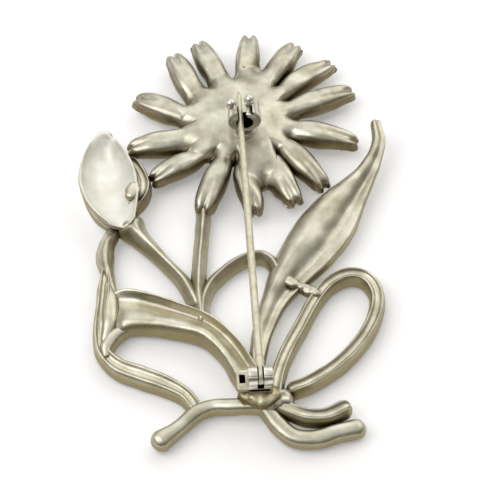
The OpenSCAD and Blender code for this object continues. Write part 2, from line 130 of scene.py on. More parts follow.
def petal_point(i, s, v, depth):
    """A point of petal i: s across it, v from root to tip, depth 0 on its back and 1 inside."""
    root = root_point(i, s)
    foot = crease_r(i) * heading(root_turn(i))
    tip = (PETAL_REACH[i] + 0.3) * heading(PETAL_TURN[i])
    axis = (tip - foot).normalized()
    side = Vector((axis.y, -axis.x))
    skin = depth * SHELL_WALL * 0.65
    # The petal swells and deepens halfway
    swell = math.sin(math.pi * v ** 0.8)
    width = PETAL_W / 2 * (0.82 + 0.33 * swell) - skin
    deep = PETAL_D * (0.6 + 0.4 * swell)
    # The tip has rounded corners, a notch in its middle and a ragged edge
    rag = noise.noise(Vector((4 * s + 7 * i, 9 * v, depth))) * smooth((v - 0.84) / 0.12)
    corner = TIP_CORNER * (1 - (1 - abs(s) ** 3) ** (1 / 3))
    notch = NOTCH_L * math.exp(-(s / NOTCH_SHARE) ** 2)
    cut_back = corner + notch + 0.25 * abs(rag)
    # Its back falls to its rim at the sides and the tip; a shallow valley leads to the notch
    rim = min(1, s ** 4 + max(0, (v - 0.8) / 0.2) ** 3)
    fall = 1 - (1 - rim) ** (1 / 3)
    valley = 0.12 * math.exp(-(s / 0.35) ** 2) * smooth((v - 0.5) / 0.4) - 0.3 * rag
    ridge = mix(dome_z(root.to_2d().length), TIP_Z, v ** 1.4) + 0.4 * math.sin(math.pi * v)
    z = ridge - depth * SHELL_WALL - valley * (1 - rim) - (deep - depth * SHELL_WALL) * fall
    along = mix(root.to_2d().dot(axis), tip.dot(axis) - cut_back - skin, v)
    base = tip + (along - tip.dot(axis)) * axis + s * width * side
    # Over its first third it blends out of the dome
    own = smooth(v / 0.3)
    flat = root.to_2d().lerp(base, own)
    return Vector((flat.x, flat.y, mix(root.z - depth * SHELL_WALL, z, own)))


def mesh_piece(name, points, faces, at=Vector((0, 0, 0))):
    """A smooth-shaded object from points in millimetres; its place is in its mesh."""
    mesh = bpy.data.meshes.new(name)
    mesh.from_pydata([(Vector(p) + at) * mm for p in points], [], faces)
    mesh.polygons.foreach_set("use_smooth", [True] * len(mesh.polygons))
    mesh.update()
    piece = bpy.data.objects.new(name, mesh)
    bpy.context.scene.collection.objects.link(piece)
    return piece


def cast_waver(piece, size, depth, seed=0.0):
    """Moves each point along its normal by a slow wave, as a hand-made wax master has."""
    mesh = piece.data
    for vertex, normal in zip(mesh.vertices, [n.vector.copy() for n in mesh.vertex_normals]):
        place = vertex.co / (size * mm) + Vector((seed, 0, 0))
        vertex.co += normal * noise.noise(place) * depth * mm
    mesh.update()


def across(j):
    """The place of column j across a petal, closer together near its sides."""
    return math.sin(math.pi / 2 * (2 * j / PETAL_COLS - 1))


def flower_skin(depth):
    """The shell's points: its middle, rings of the dome, then the petals' rows."""
    petals = len(PETAL_TURN)
    points = [(0, 0, dome_z(0) - depth * SHELL_WALL)]
    for k in range(1, HUB_RINGS + 1):
        f = k / HUB_RINGS
        for i in range(petals):
            for j in range(PETAL_COLS):
                s = across(j)
                p = root_point(i, s)
                sink = CREASE_D * abs(s) ** 3 * smooth((f - 0.72) / 0.28) ** 2
                z = dome_z(f * p.to_2d().length) - sink
                points.append((f * p.x, f * p.y, z - depth * SHELL_WALL))
    for i in range(petals):
        for r in range(1, PETAL_ROWS + 1):
            v = 1 - (1 - r / PETAL_ROWS) ** 1.35
            for j in range(PETAL_COLS + 1):
                points.append(petal_point(i, across(j), v, depth))
    return points


def flower_mesh():
    """Points and faces of the whole shell: back, inside and the rim between them."""
    petals = len(PETAL_TURN)
    around = petals * PETAL_COLS

    def hub(k, m):
        return 1 + (k - 1) * around + m % around

    def petal(i, r, j):
        if r == 0:
            return hub(HUB_RINGS, i * PETAL_COLS + j)
        return 1 + HUB_RINGS * around + (i * PETAL_ROWS + r - 1) * (PETAL_COLS + 1) + j

    outside = flower_skin(0)
    size = len(outside)
    skin = [(0, hub(1, m), hub(1, m + 1)) for m in range(around)]
    skin += [(hub(k, m), hub(k + 1, m), hub(k + 1, m + 1), hub(k, m + 1))
             for k in range(1, HUB_RINGS) for m in range(around)]
    skin += [(petal(i, r, j), petal(i, r + 1, j), petal(i, r + 1, j + 1), petal(i, r, j + 1))
             for i in range(petals) for r in range(PETAL_ROWS) for j in range(PETAL_COLS)]
    edge = []
    for i in range(petals):
        edge += [(petal(i, r, 0), petal(i, r + 1, 0)) for r in range(PETAL_ROWS)]
        edge += [(petal(i, PETAL_ROWS, j), petal(i, PETAL_ROWS, j + 1)) for j in range(PETAL_COLS)]
        edge += [(petal(i, r + 1, PETAL_COLS), petal(i, r, PETAL_COLS)) for r in range(PETAL_ROWS)]
    # The skin's faces run clockwise seen from the back, so the back's are turned over
    faces = [tuple(reversed(f)) for f in skin]
    faces += [tuple(k + size for k in f) for f in skin]
    faces += [(a, b, b + size, a + size) for a, b in edge]
    return outside + flower_skin(1), faces


def linear(code):
    """An sRGB hex colour as linear numbers."""
    parts = [int(code[k:k + 2], 16) / 255 for k in (0, 2, 4)]
    return [c / 12.92 if c <= 0.04045 else ((c + 0.055) / 1.055) ** 2.4 for c in parts] + [1]


def add_node(tree, kind, settings, links):
    """Adds a node. Settings are keyed by property or input socket, links by input socket."""
    made = tree.nodes.new(kind)
    for key, value in settings.items():
        if isinstance(key, str) and hasattr(made, key):
            setattr(made, key, value)
        else:
            made.inputs[key].default_value = value
    for key, socket in links.items():
        tree.links.new(socket, made.inputs[key])
    return made


def bare_material(name):
    """A material with its tree, which has only the object's coordinates."""
    material = bpy.data.materials.new(name)
    material.use_nodes = True
    tree = material.node_tree
    tree.nodes.clear()
    return material, tree, add_node(tree, "ShaderNodeTexCoord", {}, {}).outputs["Object"]


def plated_casting(name, face, shade, flank_tarnish_and_shade, crease_shade, polish, grain, metallic=1.0):
    """Plate over tumbled white metal: soft gloss on tops; flanks dull brown, part tarnish that the
    tumbling misses, part painted dark reflection; painted shade in creases. Polish is the roughness of its
    tops."""
    material, tree, place = bare_material(name)
    # Cloudy tarnish, about 3 mm across, and mottling of 0.6 mm
    cloud = add_node(tree, "ShaderNodeTexNoise", {"Scale": 1 / (3 * mm), "Detail": 3.0}, {"Vector": place})
    mottle = add_node(tree, "ShaderNodeTexNoise", {"Scale": 1 / (0.6 * mm), "Detail": 4.0}, {"Vector": place})
    tint = add_node(tree, "ShaderNodeMapRange", {"From Min": 0.35, "From Max": 0.68},
                    {"Value": cloud.outputs["Fac"]})
    top = add_node(tree, "ShaderNodeMix", {"data_type": "RGBA", 6: linear(face), 7: linear(shade)},
                   {0: tint.outputs["Result"]})
    # Flanks are steep faces, painted brown: part tarnish, part painted dark reflection; where they begin
    # wanders with the mottling
    normal = add_node(tree, "ShaderNodeNewGeometry", {}, {}).outputs["Normal"]
    upward = add_node(tree, "ShaderNodeSeparateXYZ", {}, {"Vector": normal}).outputs["Z"]
    level = add_node(tree, "ShaderNodeMath", {"operation": "ABSOLUTE"}, {0: upward}).outputs[0]
    drift = add_node(tree, "ShaderNodeMath", {"operation": "MULTIPLY_ADD", 1: 0.25, 2: -0.125},
                     {0: mottle.outputs["Fac"]}).outputs[0]
    steep = add_node(tree, "ShaderNodeMath", {"operation": "ADD"}, {0: level, 1: drift}).outputs[0]
    side = add_node(tree, "ShaderNodeMapRange",
                    {"From Min": 0.74, "From Max": 0.22, "To Min": 0.0, "To Max": 0.9}, {"Value": steep})
    body = add_node(tree, "ShaderNodeMix", {"data_type": "RGBA", 7: linear(flank_tarnish_and_shade)},
                    {0: side.outputs["Result"], 6: top.outputs[2]})
    # Painted shade darkens creases about 1 mm wide
    hollow = add_node(tree, "ShaderNodeAmbientOcclusion", {"samples": 8, "Distance": 1.1 * mm}, {})
    painted_crease_shade = add_node(tree, "ShaderNodeMapRange",
                    {"From Min": 0.68, "From Max": 0.25, "To Min": 0.0, "To Max": 0.92},
                    {"Value": hollow.outputs["AO"]})
    colour = add_node(tree, "ShaderNodeMix", {"data_type": "RGBA", 7: linear(crease_shade)},
                      {0: painted_crease_shade.outputs["Result"], 6: body.outputs[2]})
    # Tarnish and the painted crease shade dull the gloss
    rough = add_node(tree, "ShaderNodeMapRange",
                     {"From Min": 0.3, "From Max": 0.7, "To Min": polish, "To Max": polish + 0.1},
                     {"Value": mottle.outputs["Fac"]})
    dull = add_node(tree, "ShaderNodeMath", {"operation": "MULTIPLY_ADD", 1: 0.14},
                    {0: side.outputs["Result"], 2: rough.outputs["Result"]})
    duller = add_node(tree, "ShaderNodeMath", {"operation": "MULTIPLY_ADD", 1: 0.3},
                      {0: painted_crease_shade.outputs["Result"], 2: dull.outputs[0]})
    # Mould grain of 0.15 mm over soft dents of 1 mm
    dents = add_node(tree, "ShaderNodeTexNoise", {"Scale": 1 / (1.0 * mm), "Detail": 1.0}, {"Vector": place})
    sand = add_node(tree, "ShaderNodeTexNoise", {"Scale": 1 / (0.15 * mm), "Detail": 2.0}, {"Vector": place})
    dented = add_node(tree, "ShaderNodeBump", {"Strength": 1.0, "Distance": 0.03 * mm},
                      {"Height": dents.outputs["Fac"]})
    sanded = add_node(tree, "ShaderNodeBump", {"Strength": grain, "Distance": 0.012 * mm},
                      {"Height": sand.outputs["Fac"], "Normal": dented.outputs["Normal"]})
    shader = add_node(tree, "ShaderNodeBsdfPrincipled", {"Metallic": metallic},
                      {"Base Color": colour.outputs[2], "Roughness": duller.outputs[0],
                       "Normal": sanded.outputs["Normal"]})
    add_node(tree, "ShaderNodeOutputMaterial", {}, {"Surface": shader.outputs["BSDF"]})
    return material


# Nickel plated white metal, yellowed with age; flanks painted brown, part tarnish, part painted dark
# reflection
flower_metal = plated_casting("tarnished_plated_white_metal", "d6d2c1", "a8a38f", "75643a", "1e1406",
                              polish=0.28, grain=0.8)


def fit_out(piece, material, slot, body, *nodes):
    """Gives a finished piece its material and its place in the row."""
    piece.data.materials.append(material)
    if nodes:
        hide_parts(*nodes)
    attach(piece, body)


flower = mesh_piece("flower_head_casting", *flower_mesh(), FLOWER_AT)
cast_waver(flower, 2.4, 0.12)
cast_waver(flower, 6, 0.3, seed=3)
fit_out(flower, flower_metal, "cast_metal", "brooch", "flower_head")

# ---- Seed button ----
# The daisy's centre is a domed casting covered in small beads. It stands on a foot that is
# soldered inside the shell, so that it shows only from the front.
BUTTON_R = (button_high.x - button_low.x) / 2 / mm
BUTTON_RIM_Z = 2.6
BUTTON_BULGE = 2.15
BUTTON_TOP = 3.4
BUTTON_FOOT_R = 2.2
BUTTON_FOOT_TOP = 4.7
BEADS = 130
BEAD_R = 0.5
BEAD_SPREAD = 0.955
GOLDEN_TURN = 137.508
# An outline starts this far off its axis, and tidy_mesh merges the points there
AXIS_R = 0.001


def lathe(name, outline, at, axis="Z", steps=48, gap=0.0):
    """Turns an outline of (radius, height) pairs about an axis through a point. With a gap, a
    straight-sided slot of that width is left open on the +Z side."""
    count = len(outline)
    rings = steps + 1 if gap else steps
    points = []
    for k in range(rings):
        for r, h in outline:
            start = math.asin(min(0.99, gap / 2 / r)) if gap else 0
            a = start + (2 * math.pi - 2 * start) * k / steps
            across, up = r * math.sin(a), r * math.cos(a)
            points.append({"X": (h, across, up), "Y": (across, h, up), "Z": (across, up, h)}[axis])
    faces = []
    for k in range(rings - 1 if gap else rings):
        for j in range(count):
            a, b = k * count, (k + 1) % rings * count
            faces.append((a + j, b + j, b + (j + 1) % count, a + (j + 1) % count))
    if gap:
        last = (rings - 1) * count
        faces += [tuple(range(count)), tuple(reversed(range(last, last + count)))]
    return mesh_piece(name, points, faces, at)


def tidy_mesh(piece):
    """Merges points that meet on an axis and turns all faces outwards."""
    work = bmesh.new()
    work.from_mesh(piece.data)
    bmesh.ops.remove_doubles(work, verts=work.verts, dist=0.0005 * mm)
    bmesh.ops.recalc_face_normals(work, faces=work.faces)
    work.to_mesh(piece.data)
    work.free()
    piece.data.update()


def joined(name, parts):
    """Makes one piece of several that share a material."""
    work = bmesh.new()
    for part in parts:
        work.from_mesh(part.data)
        bpy.data.objects.remove(part)
    mesh = bpy.data.meshes.new(name)
    work.to_mesh(mesh)
    work.free()
    mesh.polygons.foreach_set("use_smooth", [True] * len(mesh.polygons))
    piece = bpy.data.objects.new(name, mesh)
    bpy.context.scene.collection.objects.link(piece)
    return piece


core = [(AXIS_R, 0.45)]
for a in range(6, 91, 6):
    core.append(((BUTTON_R - 0.12) * math.sin(math.radians(a)),
                 BUTTON_RIM_Z - BUTTON_BULGE * math.cos(math.radians(a))))
core += [(BUTTON_R - 0.4, BUTTON_TOP), (BUTTON_FOOT_R, BUTTON_TOP + 0.2),
         (BUTTON_FOOT_R, BUTTON_FOOT_TOP), (AXIS_R, BUTTON_FOOT_TOP)]
button = lathe("button_core", core, FLOWER_AT)
tidy_mesh(button)
parts = [button]
# The beads follow a spiral, as seeds do
for k in range(BEADS):
    tilt = math.asin(math.sqrt((k + 0.5) / BEADS) * BEAD_SPREAD)
    turn = k * math.radians(GOLDEN_TURN)
    outward = Vector((math.sin(tilt) * math.sin(turn), math.sin(tilt) * math.cos(turn), -math.cos(tilt)))
    centre = Vector(((BUTTON_R - BEAD_R) * outward.x, (BUTTON_R - BEAD_R) * outward.y,
                     BUTTON_RIM_Z + (BUTTON_BULGE - 0.05) * outward.z))
    arc = [(BEAD_R * math.cos(math.radians(a)), -BEAD_R * math.sin(math.radians(a)))
           for a in range(0, 90, 15)]
    outline = [(AXIS_R, 0.2), (BEAD_R, 0.2)] + arc + [(AXIS_R, -BEAD_R)]
    bead = lathe("bead", outline, Vector((0, 0, 0)), steps=14)
    tidy_mesh(bead)
    lean = Vector((0, 0, -1)).rotation_difference(outward)
    for vertex in bead.data.vertices:
        vertex.co = lean @ vertex.co + (centre + FLOWER_AT) * mm
    parts.append(bead)
button = joined("seed_button_casting", parts)
# The same plated white metal, with painted shade darkening the gaps between its beads
button_metal = plated_casting("beaded_white_metal", "dcd7c6", "c3bda8", "8f7f58", "281c0c",
                              polish=0.28, grain=0.7)
fit_out(button, button_metal, "button_metal", "brooch", "seed_button")

# ---- Flower stem ----
# A stem runs from the lowest petal to the fork at the wide ribbon. Like all the stems and
# ribbons it is cast with them in one spray, with a blunt ridge along its back.
CORD_H = 2.6
SPAN_STEPS = 12
SECTION_STEPS = 4
ROD_SQUARE = 0.8
# Sections go once round: shares of half the width across and half the height up
GABLED = [(1, -0.1), (0.8, 0.3), (0.5, 0.65), (0.14, 1), (-0.14, 1), (-0.5, 0.65), (-0.8, 0.3),
          (-1, -0.1), (-0.92, -0.8), (-0.6, -1), (-0.2, -1), (0.2, -1), (0.6, -1), (0.92, -0.8)]


def curve(rows, steps, closed=False):
    """A Catmull-Rom curve through rows of numbers."""
    n = len(rows)
    made = []
    for i in range(n if closed else n - 1):
        if closed:
            a, b, c, d = rows[i - 1], rows[i], rows[(i + 1) % n], rows[(i + 2) % n]
        else:
            a, b, c, d = rows[max(i - 1, 0)], rows[i], rows[i + 1], rows[min(i + 2, n - 1)]
        for k in range(steps):
            t = k / steps
            made.append([0.5 * (2 * q + (r - p) * t + (2 * p - 5 * q + 4 * r - s) * t * t
                                + (3 * q - p - 3 * r + s) * t ** 3) for p, q, r, s in zip(a, b, c, d)])
    return made if closed else made + [list(rows[-1])]


def strand(name, stations, form, waver=0.07, lumps=0.0):
    """Sweeps a section along stations of (x, y, z, width, height, share of the form). The rest
    of the section is a plain rod, and a station without a share has all of the form. Both ends
    are rounded. Waver and lumps are the heights of the wax master's unevenness."""
    sides = SECTION_STEPS * len(form)
    shape = curve(form, SECTION_STEPS, closed=True)
    rod = []
    for j in range(sides):
        a = 2 * math.pi * j / sides
        rod.append([math.copysign(abs(c) ** ROD_SQUARE, c) for c in (math.cos(a), math.sin(a))])
    line = curve([list(s) + [1] * (6 - len(s)) for s in stations], SPAN_STEPS)
    ways = []
    for i in range(len(line)):
        a, b = line[max(i - 1, 0)], line[min(i + 1, len(line) - 1)]
        ways.append(Vector((b[0] - a[0], b[1] - a[1])).normalized())
    rings = []
    caps = [math.sin(math.radians(a)) for a in (88, 78, 66, 54, 42, 30, 18, 8)]
    for row, way, sign, order in ((line[0], ways[0], -1, caps), (line[-1], ways[-1], 1, caps[::-1])):
        reach = min(row[3], row[4]) / 2
        ends = [([row[0] + sign * way.x * reach * q, row[1] + sign * way.y * reach * q, row[2],
                  row[3] * math.sqrt(1 - q * q), row[4] * math.sqrt(1 - q * q), row[5]], way) for q in order]
        rings = ends if sign < 0 else rings + list(zip(line, ways)) + ends
    points = []
    for row, way in rings:
        side = Vector((way.y, -way.x))
        share = min(max(row[5], 0), 1)
        for p, q in zip(rod, shape):
            u, w = mix(p[0], q[0], share) * row[3] / 2, mix(p[1], q[1], share) * row[4] / 2
            points.append((row[0] + side.x * u, row[1] + side.y * u, row[2] + w))
    count = len(rings)
    faces = [(a + j, a + (j + 1) % sides, a + sides + (j + 1) % sides, a + sides + j)
             for a in range(0, (count - 1) * sides, sides) for j in range(sides)]
    faces += [tuple(reversed(range(sides))), tuple(range((count - 1) * sides, count * sides))]
    piece = mesh_piece(name, points, [tuple(reversed(f)) for f in faces], LAYOUT_SHIFT)
    tidy_mesh(piece)
    cast_waver(piece, 2.2, waver, seed=stations[0][0])
    if lumps:
        cast_waver(piece, 0.8, lumps, seed=stations[0][1])
    return piece


# Nickel plated white metal, painted a little paler than the flower's, flanks most: painted light on the
# rounder stems and ribbons
cast_metal = plated_casting("nickel_plated_white_metal", "dcd8c7", "b8b39c", "9d9067", "2c200a",
                            polish=0.31, grain=0.8)
LOW_PETAL = 8
stem_reach = (PETAL_REACH[LOW_PETAL] - 0.4) * heading(PETAL_TURN[LOW_PETAL])
stem_tip = FLOWER_AT - LAYOUT_SHIFT + Vector((*stem_reach, 0))
flower_stem = strand("flower_stem_casting", [
    (stem_tip.x, stem_tip.y, 1.7, 2.3, CORD_H), (-5.6, 1, 1.7, 2.2, CORD_H), (-6.1, -3, 1.7, 2.2, CORD_H),
    (-6.5, -8, 1.8, 2.3, CORD_H), (-6.3, -12.6, 1.9, 2.6, CORD_H)], GABLED)
fit_out(flower_stem, cast_metal, "cast_metal", "brooch", "flower_stem")

# ---- Bud ----
# The bud is a deep spoon-shaped petal seen from inside, with a second petal curled against
# the flower's side. Its foot swells into a calyx and runs down into a thin stem.
DISHED = [(1, 0.5), (0.95, 1), (0.74, 0.6), (0.28, -0.05), (-0.28, -0.05), (-0.74, 0.6), (-0.95, 1),
          (-1, 0.5), (-0.86, -0.2), (-0.55, -0.7), (-0.2, -1), (0.2, -1), (0.55, -0.7), (0.86, -0.2)]
GROOVED = [(1, -0.25), (0.9, 0.5), (0.6, 0.98), (0.24, 0.68), (-0.24, 0.68), (-0.6, 0.98), (-0.9, 0.5),
           (-1, -0.25), (-0.9, -0.85), (-0.6, -1), (-0.2, -1), (0.2, -1), (0.6, -1), (0.9, -0.85)]
BUD_W = 8.6
BUD_RIM_Z = 4.8


def bud_ring(x, y, share_w, height, share=1):
    """A station of the bud: all of them have their rim at one height."""
    return (x, y, BUD_RIM_Z - height / 2, share_w * BUD_W, height, share)


# The bowl's plate is painted near white with a low metallic: a painted reflection of the bright
# lamps that its hollow catches
bowl_painted_reflection = plated_casting("bowl_plate_painted_reflection", "fbfaf3", "ebe9dd", "a4976c", "3a2a10",
                            polish=0.42, grain=0.5, metallic=0.4)
bud = strand("bud_dish_casting", [
    bud_ring(-17.1, 3.8, 0.5, 2.2), bud_ring(-17.6, 5.4, 0.7, 3.2), bud_ring(-18.2, 7.6, 0.9, 3.8),
    bud_ring(-18.8, 10.3, 1, 4.1), bud_ring(-19.1, 13, 0.97, 4.1), bud_ring(-19.3, 15.7, 0.78, 3.8),
    bud_ring(-19.4, 17.6, 0.57, 3, 0.9), bud_ring(-19.4, 18.8, 0.44, 2.6, 0.45),
    bud_ring(-19.3, 19.5, 0.3, 2.3, 0)], DISHED)
fit_out(bud, bowl_painted_reflection, "cast_metal", "brooch", "bud_dish")
# A thin lip follows the bowl's outer edge, a little below its rim
bud_lip = strand("bud_lip_casting", [
    (-21.4, 17.2, 3.1, 0.7, 2, 0), (-22.35, 14.8, 3.1, 0.9, 2.2, 0), (-22.62, 11.6, 3.1, 0.9, 2.2, 0),
    (-22.2, 8.4, 3.1, 0.9, 2.2, 0), (-21.1, 5.7, 2.8, 0.8, 1.9, 0), (-19.9, 4.4, 2.2, 0.7, 1.5, 0),
    (-18.4, 3.5, 1.8, 0.6, 1.4, 0)], GROOVED)
fit_out(bud_lip, bowl_painted_reflection, "cast_metal", "brooch")
bud_petal = strand("bud_petal_casting", [
    (-16.8, 16.4, 1.6, 1.4, 1.8), (-15.2, 14.9, 2.4, 2, 3), (-14, 12.4, 2.4, 2.2, 3),
    (-13.7, 10.4, 2.4, 2.4, 3), (-14.2, 8.6, 2.4, 2.2, 3), (-15.3, 7.2, 2.4, 2, 3)], GROOVED)
fit_out(bud_petal, flower_metal, "cast_metal", "brooch", "bud_petal")
# A round pad lies at the curled petal's foot
pad = strand("bud_pad_casting", [
    (-15.7, 8.1, 4.1, 1.7, 1.4, 0), (-15.3, 9, 4.1, 2.4, 1.5, 0), (-15.1, 9.9, 4.1, 1.7, 1.4, 0)], GROOVED)
fit_out(pad, cast_metal, "cast_metal", "brooch")
bud_stem = strand("bud_stem_casting", [
    (-16.5, 4.9, 1.8, 3, 2.2, 0), (-15.8, 3.7, 2.2, 4.3, 3.5, 0.3), (-14.4, 1.8, 2, 2.9, 3),
    (-11.4, -2.1, 1.8, 2.1, CORD_H), (-8.6, -6, 1.8, 2.2, CORD_H), (-7, -10, 1.9, 2.4, CORD_H)], GABLED)
fit_out(bud_stem, cast_metal, "cast_metal", "brooch", "bud_stem")

# ---- Branch and big leaf ----
# A thin branch bends from the fork across to the leaf. The leaf is long and hollow backed,
# with rolled edges, and draws out to a narrow upright tip.
branch = strand("branch_strut_casting", [
    (-6.1, -12.6, 1.9, 2.2, CORD_H), (-5.8, -9.6, 1.8, 2, CORD_H), (-4.6, -6.8, 1.7, 2, CORD_H),
    (-2.3, -4.4, 1.7, 2, CORD_H), (0.2, -2.7, 1.7, 2, CORD_H), (2.5, -2.1, 1.7, 2, CORD_H),
    (4.2, -3, 1.7, 2, CORD_H), (5, -4.6, 1.7, 2, CORD_H)], GABLED)
fit_out(branch, cast_metal, "cast_metal", "brooch", "branch_strut")
LEAF_W = 8.4
WAVED = [(1, -0.2), (0.92, 0.35), (0.68, 0.25), (0.38, 0.1), (0.02, 0.7), (-0.35, 0.95), (-0.75, 0.6),
         (-1, -0.1), (-0.9, -0.75), (-0.55, -1), (-0.2, -1), (0.2, -1), (0.58, -0.95), (0.92, -0.75)]
leaf = strand("big_leaf_casting", [
    (1, -23.6, 2, 2.2, CORD_H, 0), (1.3, -19.6, 1.8, 2.4, CORD_H, 0.2), (2.4, -15, 1.7, 3, 2.6, 0.5),
    (4.4, -10, 1.8, 4, 2.8, 0.8), (7.2, -5.4, 2, 6.4, 3.2), (10.3, -1.4, 2.2, 0.96 * LEAF_W, 3.4),
    (13, 2.4, 2.3, LEAF_W, 3.4), (15.8, 6.4, 2.4, 0.79 * LEAF_W, 3.2),
    (18.5, 9.8, 2.6, 0.48 * LEAF_W, 2.8, 0.9), (20.6, 13, 2.9, 2.7, 2.2, 0.7),
    (21.9, 16.2, 3.3, 2.1, 2, 0.6), (21.9, 19.6, 3.6, 1.8, 1.8, 0.6)], WAVED, waver=0.12)
fit_out(leaf, cast_metal, "cast_metal", "brooch", "big_leaf")

# ---- Leaf tie ----
# A lumpy bridge of tin solder holds the leaf to the bow's right loop. It was run on by hand
# and plated over, so that it is smooth and keeps the shape of its drops.
solder_metal = plated_casting("plated_solder", "d2cdbd", "b3ab96", "85734e", "35260f",
                              polish=0.3, grain=1.0)
tie = strand("leaf_tie_solder", [
    (6.3, -7, 2.1, 1.7, 1.8, 0), (7.3, -7.7, 2.1, 1.9, 1.9, 0), (8.2, -8.2, 2.0, 1.3, 1.6, 0),
    (9.2, -8.8, 2.0, 1.8, 1.8, 0), (10.4, -9.4, 2, 1.7, 1.8, 0)], GABLED, lumps=0.2)
fit_out(tie, solder_metal, "solder_metal", "brooch", "leaf_tie")

# ---- Ribbon bow ----
# The bow's ribbons are castings too: a broad left ribbon with a thin raised rim and a trough
# beside it, two loops with a groove along their backs, and three short ends. A small leaf
# lies along the left loop.
TROUGHED = [(1, 0.4), (0.93, 1), (0.6, 0.35), (0.25, 0.45), (-0.2, 0.85), (-0.65, 1), (-0.95, 0.7),
            (-1, 0), (-0.95, -0.8), (-0.6, -1), (-0.2, -1), (0.2, -1), (0.6, -1), (0.95, -0.7)]
CORD_W = 2.3
wide = strand("wide_ribbon_casting", [
    (0.4, -26, 2.6, 3.4, 3.6), (-1, -22.2, 2.5, 3.6, 3.7), (-2.9, -18.4, 2.3, 3.5, 3.7),
    (-5.8, -15, 2.2, 3.8, 3.7), (-10, -13, 2.1, 4.7, 3.7), (-14, -11.7, 2.1, 5.8, 3.6),
    (-17.2, -11.1, 1.9, 6.9, 3.2), (-19.6, -11.3, 1.3, 6.6, 1.8, 0.6)], TROUGHED, waver=0.12)
fit_out(wide, cast_metal, "cast_metal", "brooch", "wide_ribbon")
right_loop = strand("right_loop_casting", [
    (3.3, -26, 2.6, CORD_W, 2.8), (4, -22.9, 2.2, CORD_W, 2.8), (5.4, -19.3, 1.9, CORD_W, 2.8),
    (7.8, -14.8, 1.6, CORD_W, 2.8), (10.1, -10.7, 1.6, CORD_W, 2.8), (12.5, -7.8, 1.6, CORD_W, 2.8),
    (15.2, -6.5, 1.6, CORD_W, 2.8), (17.7, -7.1, 1.6, CORD_W, 2.8), (19, -9.4, 1.6, CORD_W, 2.8),
    (18.9, -12.3, 1.6, CORD_W, 2.8), (17.5, -15.7, 1.6, CORD_W, 2.8), (15.2, -18.9, 1.6, CORD_W, 2.8),
    (12, -21.9, 1.6, CORD_W, 2.8), (8.2, -24.4, 1.9, CORD_W, 2.8), (6, -25.5, 2.4, CORD_W, 2.8)], GROOVED)
fit_out(right_loop, cast_metal, "cast_metal", "brooch", "right_loop")
side_leaf = strand("side_leaf_casting", [
    (-18, 4.2, 1.7, 2.2, 1.8, 0.5), (-19.4, 1.2, 1.9, 2.4, 2.4), (-19.8, -1.4, 1.8, 2.7, 2.4),
    (-19.4, -4.4, 1.7, 1.8, 2.4, 0.6), (-18.8, -7.6, 1.6, 1.4, 2.2, 0)], GABLED)
fit_out(side_leaf, cast_metal, "cast_metal", "brooch", "side_leaf")
left_loop = strand("left_loop_casting", [
    (-19.8, -4.4, 1.7, 1.5, CORD_H), (-20, -7.4, 1.8, 2.3, 3), (-20.3, -10, 1.9, 2.1, 3.2),
    (-20.5, -12.4, 1.8, 2.5, 3), (-20.8, -14.6, 1.5, 2.2, CORD_H), (-20.4, -17.4, 1.4, CORD_W, CORD_H),
    (-18.4, -19.8, 1.3, 2.9, CORD_H), (-15.2, -21.4, 1.3, 3.2, CORD_H), (-11.8, -23.1, 1.3, 2.9, CORD_H),
    (-9.1, -25.1, 1.3, 2.3, CORD_H), (-7.6, -27.7, 1.4, 2, CORD_H)], GROOVED)
fit_out(left_loop, cast_metal, "cast_metal", "brooch", "left_loop")
# The broad ribbon flares into the loop: a fold runs down between them, and the ribbon's lower
# edge sweeps round into the loop's line
folds = {
    "upright": [
        (-19.5, -6.4, 2.0, 1.2, 1.8, 0), (-19.2, -8.8, 2.1, 2.2, 2.4, 0), (-19.3, -11, 2.1, 2.5, 2.5, 0),
        (-19.5, -13.2, 2, 2.2, 2.4, 0), (-20.1, -15.6, 1.7, 1.4, 2, 0)],
    "lower": [
        (-15.2, -13.4, 1.5, 1.2, 2, 0), (-17.2, -13.9, 1.5, 1.8, 2.5, 0), (-18.7, -14.8, 1.5, 2.2, 2.7, 0),
        (-19.8, -16.4, 1.5, 2.2, 2.6, 0), (-20, -18, 1.4, 1.4, 2.3, 0)]}
for place, stations in folds.items():
    fold = strand("ribbon_fold_casting_" + place, stations, GABLED)
    fit_out(fold, cast_metal, "cast_metal", "brooch")
left_tail = strand("left_tail_casting", [
    (1, -27.9, 2.6, 2.4, CORD_H, 0), (-2.4, -27.5, 2, 2.2, CORD_H, 0), (-5.4, -27.2, 1.6, 2.2, CORD_H, 0),
    (-7.8, -28, 1.5, 2.3, CORD_H, 0), (-10.3, -30.2, 1.5, 2.2, CORD_H, 0),
    (-12.8, -32, 1.6, 3, 2.8, 0)], GROOVED)
fit_out(left_tail, cast_metal, "cast_metal", "brooch", "left_tail")
upper_tail = strand("upper_right_tail_casting", [
    (3, -27.6, 2.6, 2.2, CORD_H, 0), (5.4, -29, 2.3, 2.3, CORD_H, 0.5), (7.8, -29.8, 2, 2.4, CORD_H),
    (10.2, -29.8, 1.9, 2.5, CORD_H), (12.6, -28.8, 1.9, 2.6, CORD_H)], GROOVED)
fit_out(upper_tail, cast_metal, "cast_metal", "brooch", "upper_right_tail")
lower_tail = strand("lower_right_tail_casting", [
    (1.8, -28.2, 2.4, 2.4, CORD_H, 0), (3.4, -30.6, 1.7, 2.6, CORD_H, 0), (5.6, -32.6, 1.4, 2.6, CORD_H, 0),
    (8.6, -33, 1.4, 2.6, CORD_H, 0), (11.6, -32.2, 1.4, 2.6, CORD_H, 0),
    (14.2, -31.7, 1.4, 2.8, CORD_H, 0)], GROOVED)
fit_out(lower_tail, cast_metal, "cast_metal", "brooch", "lower_right_tail")

